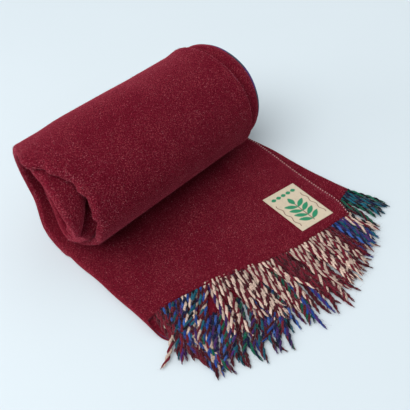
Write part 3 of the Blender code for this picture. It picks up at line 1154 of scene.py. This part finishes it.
@dataclass
class Fringe:
    """One layer's fringe: strands of two plies, twisted, which lie on the layer below and then on the floor.

    turn_spread and curl_spread are degrees. lengths, pitches and tones are the least and the most that a
    strand's own values are multiplied by, and loose_share is the width by the left fold that keeps together.
    first_turn is the share of its turn that a strand has taken at the cloth, and later_turn the rest. The
    plies fray over the last fray_run of it, where they close in and grow thin.
    """

    pack: Pack
    node: str
    layer: int
    bands: tuple[Band, ...]
    seed: int
    left_inset: float
    strands: int = 56
    ply_radius: float = 0.0021
    flattening: float = 0.60
    twist_pitch: float = 0.021
    steps: int = 28
    sides: int = 6
    wisps: int = 14
    right_inset: float = 0.004
    place_spread: float = 0.2
    turn_spread: float = 6.5
    curl_spread: float = 19.0
    most_sway: float = 0.30
    sway_waves: float = 5.0
    lengths: Range = (0.84, 1.07)
    pitches: Range = (0.85, 1.2)
    tones: Range = (0.75, 1.3)
    widths: Range = (0.92, 1.06)
    loose_least: float = 0.25
    loose_share: float = 0.12
    layer_rise: float = 0.0026
    most_rise: float = 0.0020
    start_out: float = 0.0010
    first_turn: float = 0.72
    later_turn: float = 0.28
    turn_rate: float = 4.0
    settling: Range = (0.3, 1.0)
    settle_from: float = 0.55
    settle_run: float = 0.45
    fray_from: float = 0.80
    fray_run: float = 0.20
    wind_share: float = 0.80
    fray_wind: float = 0.35
    lumps: float = 0.10
    fray_loss: float = 0.85
    fray_power: float = 1.6
    level_run: float = 0.004
    fall_run: float = 0.05
    fall_run_more: float = 0.03
    wisp_turn: float = 32.0
    wisp_bend: float = 40.0
    wisp_reach: Range = (0.003, 0.008)
    wisp_rise: Range = (-0.0008, 0.0016)
    wisp_halves: tuple[float, ...] = (0.00013, 0.00010, 0.00004)

    def build(self, material: bpy.types.Material) -> bpy.types.Object:
        """Makes every strand and gives each ply its yarn's colour.

        Args:
            material: the yarn's finish.

        Returns:
            All the strands as one mesh.
        """
        draw = random.Random(self.seed)
        points: list[np.ndarray] = []
        faces: list[np.ndarray] = []
        colours: list[np.ndarray] = []
        flat: list[np.ndarray] = []
        count = 0
        for index in range(self.strands):
            share = (index + draw.uniform(-self.place_spread, self.place_spread)) / (self.strands - 1)
            share = min(1.0, max(0.0, share))
            path = self.path(share, draw)
            start = draw.uniform(0.0, math.tau)
            pitch = self.twist_pitch * draw.uniform(*self.pitches)
            yarns = self.yarns(share, draw)
            for ply in range(2):
                rings, skin, place = self.ply(path, start + ply * math.pi, pitch, draw)
                points.append(rings)
                faces.append(skin + count)
                flat.append(place)
                count += len(rings)
                tone = draw.uniform(*self.tones)
                colours.append(np.tile([*(tone * c for c in yarns[ply].value), 1.0], (len(rings), 1)))
            for _ in range(self.wisps):
                ribbon = self.wisp(path, draw)
                points.append(ribbon)
                faces.append(WISP_FACES + count)
                flat.append(np.zeros((len(ribbon), 2)))
                count += len(ribbon)
                tint = (np.array(yarns[draw.randrange(2)].value) + np.array(WISP_COLOUR)) / 2
                colours.append(np.tile([*tint, 1.0], (len(ribbon), 1)))
        points_all, faces_all = np.concatenate(points), np.concatenate(faces)
        piece = add_mesh(self.node + "_strands", points_all, faces_all, np.concatenate(flat))
        dye(piece, "yarn", np.concatenate(colours))
        piece.data.materials.append(material)
        return piece

    def yarns(self, share: float, draw: random.Random) -> tuple[Yarn, Yarn]:
        """Picks the two yarns of a strand from its band.

        Args:
            share: where the strand stands in the width.
            draw: the random numbers.

        Returns:
            The yarn of each ply.
        """
        for band in self.bands:
            if share <= band.until:
                break
        return draw.choice(band.pairs)

    def path(self, share: float, draw: random.Random) -> np.ndarray:
        """Leads a strand out from the cloth's end, down to what it lies on, and along it.

        Args:
            share: where the strand stands in the width.
            draw: the random numbers.

        Returns:
            The points of its middle line.
        """
        tier = "upper" if self.layer < 2 else "lower"
        upper = 1.0 if self.layer < 2 else 0.0
        left = TAIL.at("left_fold_x", 0.0) + self.pack.outermost + self.left_inset
        edge = "selvedge_x" if self.layer < 2 else "right_fold_x"
        right = TAIL.at(edge, 0.0) - self.right_inset
        root_x = left + (right - left) * share
        root_y = upper * END.at("upper_y", share) + (1 - upper) * END.at("lower_y", share)
        # Those by the left fold keep together.
        loose = min(1.0, self.loose_least + share / self.loose_share)
        stray = loose * draw.gauss(0.0, self.turn_spread)
        turn = math.radians(float(STRANDS.at(tier + "_turn", share)) + stray)
        length = float(STRANDS.at(tier + "_length", share)) * draw.uniform(*self.lengths)
        curl = math.radians(loose * draw.gauss(0.0, self.curl_spread))
        sway, phase = draw.uniform(0.0, self.most_sway), draw.uniform(0.0, math.tau)
        reach = np.linspace(0.0, 1.0, self.steps)
        # Each leaves its cloth squarely and then takes its own way.
        taken = self.first_turn + self.later_turn * np.clip(reach * self.turn_rate, 0.0, 1.0)
        heading = turn * taken + curl * reach**2
        heading += sway * np.sin(phase + self.sway_waves * reach) * reach
        step = length / (self.steps - 1)
        x = root_x + np.concatenate([[0.0], np.cumsum(np.sin(heading[:-1]) * step)])
        y = root_y + self.start_out - np.concatenate([[0.0], np.cumsum(np.cos(heading[:-1]) * step)])
        low = 2 * self.ply_radius * self.flattening
        below = self.pack.layers - 1 - self.layer
        rest = low + self.layer_rise * below + draw.uniform(0.0, self.most_rise)
        fall = draw.uniform(*self.settling)
        fall_run = self.fall_run + self.fall_run_more * draw.random()
        sink = np.clip((reach * length - self.level_run) / fall_run, 0.0, 1.0)
        sink = sink * sink * (3 - 2 * sink)
        z = self.pack.level(self.layer) * (1 - sink) + rest * sink
        # Its outer half settles onto the surface below.
        z -= (z - low) * np.clip((reach - self.settle_from) / self.settle_run, 0.0, 1.0) ** 2 * fall
        return np.stack([x, y, np.maximum(z, low)], axis=1)

    def wisp(self, path: np.ndarray, draw: random.Random) -> np.ndarray:
        """Makes a stray fibre, a narrow ribbon that leaves the strand and curves away.

        Args:
            path: the strand's middle line.
            draw: the random numbers.

        Returns:
            Its six points.
        """
        at = draw.randrange(1, len(path) - 1)
        along = path[at + 1] - path[at]
        heading = math.atan2(along[1], along[0]) + math.radians(draw.gauss(0.0, self.wisp_turn))
        bend = math.radians(draw.gauss(0.0, self.wisp_bend))
        reach = draw.uniform(*self.wisp_reach)
        aside = (math.cos(heading + math.pi / 2), math.sin(heading + math.pi / 2))
        place = path[at] + (0.0, 0.0, self.ply_radius * self.flattening)
        rows = []
        for half in self.wisp_halves:
            rows += [place + (way * half * aside[0], way * half * aside[1], 0.0) for way in (-1, 1)]
            rise = draw.uniform(*self.wisp_rise)
            place = place + (reach * math.cos(heading), reach * math.sin(heading), rise)
            heading += bend
        return np.array(rows)

    def ply(
        self, path: np.ndarray, start: float, pitch: float, draw: random.Random
    ) -> tuple[np.ndarray, np.ndarray, np.ndarray]:
        """Winds one ply, a thin tube, round the strand's middle line.

        Args:
            path: the middle line.
            start: the angle at which the ply leaves the root.
            pitch: the length of one turn.
            draw: the random numbers.

        Returns:
            Its points, its faces, and each point's place round and along the ply.
        """
        aside, above = square_to(path)
        run = lengths_along(path)
        turn = start - math.tau * run / pitch
        fray = np.clip((run / run[-1] - self.fray_from) / self.fray_run, 0.0, 1.0)
        wind = self.ply_radius * (self.wind_share - self.fray_wind * fray)
        round_it = np.cos(turn)[:, None] * aside + self.flattening * np.sin(turn)[:, None] * above
        radius = self.ply_radius * (1.0 + self.lumps * np.sin(turn * 2 + start))
        radius = radius * (1.0 - self.fray_loss * fray**self.fray_power)
        radius = radius * draw.uniform(*self.widths)
        rings = tube(path + wind[:, None] * round_it, radius, self.sides, self.flattening)
        angles = np.linspace(0.0, math.tau, self.sides, endpoint=False)
        place = np.stack(np.broadcast_arrays(self.ply_radius * angles[None, :], run[:, None]), axis=2)
        return rings, tube_faces(len(path), self.sides), place.reshape(-1, 2)


class Thread(Enum):
    """The threads woven into the label, each with its colour."""

    CREAM = (0.720, 0.610, 0.455)
    GREEN = (0.016, 0.270, 0.130)
    BROWN = (0.170, 0.060, 0.045)


@dataclass(frozen=True)
class Motif:
    """A pointed leaf, or a thin line where it isn't pointed, woven into the label. Sizes are in metres."""

    thread: Thread
    start: tuple[float, float]
    end: tuple[float, float]
    width: float
    pointed: bool = True
    wave: float = 0.0
    waves: float = 3.0
    soft: float = 0.0007
    fullness: float = 0.8

    def cover(self, flat: np.ndarray) -> np.ndarray:
        """Works out how far the motif covers places on the flat label.

        Args:
            flat: the places, one row each.

        Returns:
            A share from 0 to 1 for each of them.
        """
        run = np.subtract(self.end, self.start)
        length = float(np.hypot(*run))
        run = run / length
        way = flat - self.start
        share = (way @ run) / length
        off = way[:, 1] * run[0] - way[:, 0] * run[1]
        off = off + self.wave * np.sin(math.tau * self.waves * share)
        half = self.width / 2
        if self.pointed:
            half = half * np.sin(math.pi * np.clip(share, 0.0, 1.0)) ** self.fullness
        cover = np.clip((half - np.abs(off)) / self.soft + 0.5, 0.0, 1.0)
        return cover * ((share >= 0.0) & (share <= 1.0))


@dataclass
class Label:
    """The woven label: a cream slip sewn flat on the top layer, with a sprig and lozenges woven into it."""

    pack: Pack
    wide: float = 0.068
    deep: float = 0.094
    at: tuple[float, float] = (0.137, -0.2205)
    turn: float = math.radians(-12.0)
    thick: float = 0.0006
    wide_steps: int = 70
    deep_steps: int = 96
    leaf_pairs: int = 4
    leaf_gap: float = 0.0115
    leaf_reach: tuple[float, float] = (0.020, 0.012)
    leaf_wide: float = 0.0085
    first_leaf: float = -0.036
    stem: tuple[float, float] = (-0.040, 0.010)
    top_leaf: tuple[float, float] = (0.006, 0.024)
    top_leaf_wide: float = 0.0095
    lozenges: int = 5
    lozenge_gap: float = 0.0105
    lozenge_half: float = 0.0048
    lozenge_wide: float = 0.0075
    lozenges_at: float = 0.034
    side_at: float = 0.0275
    side: tuple[float, float] = (-0.038, 0.022)
    side_wave: float = 0.0016
    line_wide: float = 0.0014
    over_cloth: float = 0.0003

    def motifs(self) -> list[Motif]:
        """Lays out the sprig with its paired leaves, the row of lozenges and the wavy side lines.

        Returns:
            The motifs, the lowest first.
        """
        low, high = self.stem
        found = [Motif(Thread.BROWN, (0.0, low), (0.0, high), self.line_wide, False)]
        aside, along = self.leaf_reach
        for pair in range(self.leaf_pairs):
            base = self.first_leaf + pair * self.leaf_gap
            for way in (-1, 1):
                found.append(Motif(Thread.GREEN, (0.0, base), (way * aside, base + along), self.leaf_wide))
        low, high = self.top_leaf
        found.append(Motif(Thread.GREEN, (0.0, low), (0.0, high), self.top_leaf_wide))
        for index in range(self.lozenges):
            middle = (index - (self.lozenges - 1) / 2) * self.lozenge_gap
            start = (middle - self.lozenge_half, self.lozenges_at)
            end = (middle + self.lozenge_half, self.lozenges_at)
            found.append(Motif(Thread.GREEN, start, end, self.lozenge_wide))
        low, high = self.side
        for way in (-1, 1):
            at = way * self.side_at
            found.append(Motif(Thread.BROWN, (at, low), (at, high), self.line_wide, False, self.side_wave))
        return found

    def build(self) -> bpy.types.Object:
        """Makes the slip as a thin closed sheet and colours its threads.

        Returns:
            The slip.
        """
        across = np.linspace(-0.5, 0.5, self.wide_steps)
        along = np.linspace(-0.5, 0.5, self.deep_steps)
        u, v = np.meshgrid(across, along, indexing="ij")
        flat = np.stack([u.ravel() * self.wide, v.ravel() * self.deep], axis=1)
        points = np.concatenate([self.place(flat, self.thick), self.place(flat, 0.0)])
        grid = np.arange(len(flat)).reshape(self.wide_steps, self.deep_steps)
        low, high = grid[:-1, :-1].ravel(), grid[1:, 1:].ravel()
        upper = np.stack([low, grid[1:, :-1].ravel(), high, grid[:-1, 1:].ravel()], axis=1)
        rim = np.concatenate([grid[:, 0], grid[-1, 1:], grid[-2::-1, -1], grid[0, -2:0:-1]])
        after = np.roll(rim, -1)
        walls = np.stack([rim + len(flat), after + len(flat), after, rim], axis=1)
        faces = np.concatenate([upper, upper[:, ::-1] + len(flat), walls])
        label = add_mesh("rug_label_slip", points, faces, np.tile(flat, (2, 1)))
        colour = np.tile(np.array(Thread.CREAM.value), (len(flat), 1))
        for motif in self.motifs():
            cover = motif.cover(flat)[:, None]
            colour = colour * (1 - cover) + np.array(motif.thread.value) * cover
        colour = np.concatenate([colour, np.ones((len(flat), 1))], axis=1)
        dye(label, "thread", np.tile(colour, (2, 1)))
        label.data.materials.append(WovenLinen().material())
        return label

    def place(self, flat: np.ndarray, lift: float) -> np.ndarray:
        """Lays places of the flat slip on the cloth.

        Args:
            flat: the places, one row each.
            lift: their height in the slip's thickness.

        Returns:
            One row of x, y and z for each of them.
        """
        c, s = math.cos(self.turn), math.sin(self.turn)
        x = self.at[0] + flat[:, 0] * c - flat[:, 1] * s
        y = self.at[1] + flat[:, 0] * s + flat[:, 1] * c
        return np.stack([x, y, np.full(len(x), self.pack.thick + self.over_cloth + lift)], axis=1)


@dataclass
class EdgeStitches:
    """Pale overedge stitches along the upper layer's selvedge on the tail."""

    pack: Pack
    pitch: float = 0.0050
    radius: float = 0.00052
    reach: float = 0.0030
    slant: float = 0.0016
    steps: int = 7
    sides: int = 6
    last_share: float = 0.97
    first_gap: float = 0.003
    spread: float = 0.0006
    lead_share: float = 0.65
    bend_in: float = 1.5
    bulge: float = 0.0006
    over_cloth: float = 0.0004
    drop: float = 0.0018
    seed: int = 5
    colour: Colour = (0.66, 0.34, 0.35)
    pale: Colour = (0.85, 0.62, 0.60)
    fibre: Noise = Noise(800.0)
    rough: float = 0.8

    def build(self) -> bpy.types.Object:
        """Makes one short loop of thread after another, each over the cloth's edge.

        Returns:
            All the stitches as one mesh.
        """
        pack = self.pack
        first_y = float(END.at("upper_y", 1.0))
        draw = random.Random(self.seed)
        points: list[np.ndarray] = []
        faces: list[np.ndarray] = []
        for index in range(int(self.last_share * abs(first_y) / self.pitch)):
            y = first_y + self.first_gap + index * self.pitch + draw.uniform(-self.spread, self.spread)
            share = 1 - y / first_y
            edge = float(TAIL.at("selvedge_x", share)) + self.lead_share * pack.selvedge_lead
            turn = np.linspace(0.0, 1.0, self.steps)
            x = edge - self.reach * (1 - turn) ** self.bend_in + self.bulge * np.sin(math.pi * turn)
            z = pack.level(0) + pack.cloth_thick / 2 + self.over_cloth - self.drop * turn**4
            path = np.stack([x, y + self.slant * turn, z], axis=1)
            ring = tube(path, np.full(self.steps, self.radius), self.sides, 1.0)
            points.append(ring)
            faces.append(tube_faces(self.steps, self.sides) + index * len(ring))
        stitches = add_mesh("rug_edge_stitches", np.concatenate(points), np.concatenate(faces))
        thread = Recipe("stitch_thread")
        fibre = thread.noise(self.fibre)
        thread.finish(Base_Color=thread.mix(fibre, self.colour, self.pale), Roughness=self.rough)
        stitches.data.materials.append(thread.material)
        return stitches


@dataclass(frozen=True)
class Lamp:
    """One soft square lamp, aimed at the rug."""

    name: str
    watts: float
    size: float
    place: Point


@dataclass(frozen=True)
class Studio:
    """A pale floor under soft light, and the camera at the photograph's angle."""

    camera_at: Point = (-0.7092, -0.5613, 0.8828)
    camera_along: Point = (0.57621, 0.46752, -0.67037)
    lens: float = 69.7
    sensor: float = 36.0
    nearest: float = 0.05
    floor_size: float = 12.0
    floor_under: float = 0.0004
    sky: float = 0.53
    sky_colour: Colour = (0.95, 0.98, 1.0)
    window: float = 2.18
    window_spread: float = 45.0
    window_from: Point = (-1.20, -0.16, 1.50)
    lamps: tuple[Lamp, ...] = (
        Lamp("side", 11.0, 1.2, (-1.90, 1.05, 0.75)),
        Lamp("upper left", 1.15, 0.5, (-0.52, 0.40, 0.78)),
    )

    def floor(self) -> bpy.types.Object:
        """Lays a wide floor just under the rug.

        Returns:
            The floor.
        """
        bpy.ops.mesh.primitive_plane_add(size=self.floor_size, location=(0.0, 0.0, -self.floor_under))
        floor = bpy.context.object
        floor.name = "floor"
        floor.data.materials.append(PaleFloor().material())
        return floor

    def lights(self) -> None:
        """Adds an even sky, one broad light from the upper left front and the soft lamps."""
        world = bpy.data.worlds.new("studio")
        world.use_nodes = True
        sky = world.node_tree.nodes["Background"]
        sky.inputs["Color"].default_value = (*self.sky_colour, 1.0)
        sky.inputs["Strength"].default_value = self.sky
        bpy.context.scene.world = world
        window = bpy.data.lights.new("window", "SUN")
        window.energy = self.window
        window.angle = math.radians(self.window_spread)
        self.hang(window, self.window_from)
        for lamp in self.lamps:
            light = bpy.data.lights.new(lamp.name, "AREA")
            light.size = lamp.size
            light.energy = lamp.watts
            self.hang(light, lamp.place)

    def hang(self, lamp: bpy.types.Light, place: Point) -> None:
        """Puts a lamp at a place, aimed at the rug.

        Args:
            lamp: the lamp.
            place: where it hangs.
        """
        obj = bpy.data.objects.new(lamp.name, lamp)
        obj.location = place
        obj.rotation_mode = "QUATERNION"
        obj.rotation_quaternion = Vector(place).to_track_quat("Z", "Y")
        bpy.context.scene.collection.objects.link(obj)

    def camera(self) -> None:
        """Sets the camera at the photograph's angle."""
        data = bpy.data.cameras.new("camera")
        data.lens = self.lens
        data.sensor_width = self.sensor
        data.clip_start = self.nearest
        camera = bpy.data.objects.new("camera", data)
        camera.location = self.camera_at
        camera.rotation_mode = "QUATERNION"
        camera.rotation_quaternion = Vector(self.camera_along).to_track_quat("-Z", "Y")
        bpy.context.scene.collection.objects.link(camera)
        bpy.context.scene.camera = camera


COOL = (
    (Yarn.BLUE, Yarn.CLARET),
    (Yarn.NAVY, Yarn.PURPLE),
    (Yarn.TEAL, Yarn.CLARET),
    (Yarn.GREEN, Yarn.CRIMSON),
    (Yarn.SKY, Yarn.NAVY),
    (Yarn.PURPLE, Yarn.CLARET),
    (Yarn.GREEN, Yarn.NAVY),
    (Yarn.CRIMSON, Yarn.BLACK),
    (Yarn.TEAL, Yarn.BLACK),
    (Yarn.BLUE, Yarn.CRIMSON),
)
MIXED = (*COOL, (Yarn.CREAM, Yarn.CRIMSON), (Yarn.CREAM, Yarn.PURPLE), (Yarn.CREAM, Yarn.BLUE))
BLUES = ((Yarn.BLUE, Yarn.TEAL), (Yarn.SKY, Yarn.NAVY), (Yarn.TEAL, Yarn.NAVY), (Yarn.BLUE, Yarn.PURPLE))
DEEP = ((Yarn.GREEN, Yarn.BLACK), (Yarn.TEAL, Yarn.BLACK), (Yarn.GREEN, Yarn.CLARET), (Yarn.TEAL, Yarn.NAVY))
REDS = ((Yarn.CRIMSON, Yarn.CLARET), (Yarn.CRIMSON, Yarn.CRIMSON), (Yarn.CLARET, Yarn.CLARET))
PALE = ((Yarn.CREAM, Yarn.CRIMSON), (Yarn.CREAM, Yarn.CLARET), (Yarn.CRIMSON, Yarn.CREAM))
SMOKE = ((Yarn.CREAM, Yarn.BLACK), (Yarn.CREAM, Yarn.CLARET), (Yarn.BLACK, Yarn.CLARET))
DUSK = (
    (Yarn.PURPLE, Yarn.CRIMSON),
    (Yarn.PURPLE, Yarn.BLUE),
    (Yarn.CRIMSON, Yarn.CLARET),
    (Yarn.BLUE, Yarn.CRIMSON),
    (Yarn.CREAM, Yarn.CRIMSON),
)
BANDS = {
    "fringe_first": (
        Band(0.03, REDS),
        Band(0.14, COOL),
        Band(0.17, ((Yarn.CREAM, Yarn.BLUE), (Yarn.CREAM, Yarn.NAVY))),
        Band(0.24, COOL),
        Band(0.56, PALE),
        Band(0.63, REDS),
        Band(0.86, PALE),
        Band(0.90, REDS),
        Band(0.97, BLUES),
        Band(1.00, ((Yarn.CREAM, Yarn.PURPLE), (Yarn.CREAM, Yarn.CRIMSON))),
    ),
    "fringe_second": (
        Band(0.14, DUSK),
        Band(0.28, MIXED),
        Band(0.56, PALE),
        Band(0.68, REDS),
        Band(0.86, PALE),
        Band(0.92, DUSK),
        Band(1.00, BLUES),
    ),
    "fringe_third": (
        Band(0.05, ((Yarn.CREAM, Yarn.BLUE), (Yarn.CRIMSON, Yarn.CRIMSON))),
        Band(0.16, MIXED),
        Band(0.46, COOL),
        Band(0.56, DUSK),
        Band(0.66, PALE),
        Band(0.74, REDS),
        Band(0.84, DUSK),
        Band(0.90, SMOKE),
        Band(1.00, DEEP),
    ),
    "fringe_fourth": (
        Band(0.08, REDS),
        Band(0.20, COOL),
        Band(0.26, REDS),
        Band(0.50, COOL),
        Band(0.64, REDS),
        Band(0.76, PALE),
        Band(0.86, DUSK),
        Band(0.92, SMOKE),
        Band(1.00, DEEP),
    ),
}


# How far in from the left fold each layer's fringe starts, and the seed of the first layer's random numbers.
LEFT_INSETS = (0.020, 0.016, 0.006, 0.004)
FIRST_SEED = 17


def main() -> None:
    """Builds the rug's pieces in order, then the studio."""
    logging.basicConfig(level=logging.INFO, format="%(message)s")
    bpy.context.scene.view_settings.view_transform = "Standard"
    pack = Pack()
    sheet = RugCloth(pack)
    cloth = sheet.build()
    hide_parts("rug_cloth")
    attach(cloth, "root")
    LOG.info("cloth: %d faces", len(cloth.data.polygons))
    nap = Nap(sheet.shown()).build(sheet.plain)
    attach(nap, "root")
    LOG.info("nap: %d hairs", len(nap.data.polygons))
    yarn = SpunYarn().material()
    for layer, (node, bands) in enumerate(BANDS.items()):
        fringe = Fringe(pack, node, layer, bands, FIRST_SEED + layer, LEFT_INSETS[layer])
        piece = fringe.build(yarn)
        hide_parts(node)
        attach(piece, "root")
        LOG.info("%s: %d faces", piece.name, len(piece.data.polygons))
    stitches = EdgeStitches(pack).build()
    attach(stitches, "root")
    LOG.info("stitches: %d faces", len(stitches.data.polygons))
    label = Label(pack).build()
    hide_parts("rug_label")
    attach(label, "root")
    LOG.info("label: %d faces", len(label.data.polygons))
    studio = Studio()
    studio.floor()
    studio.lights()
    studio.camera()


if __name__ == "__main__":
    main()
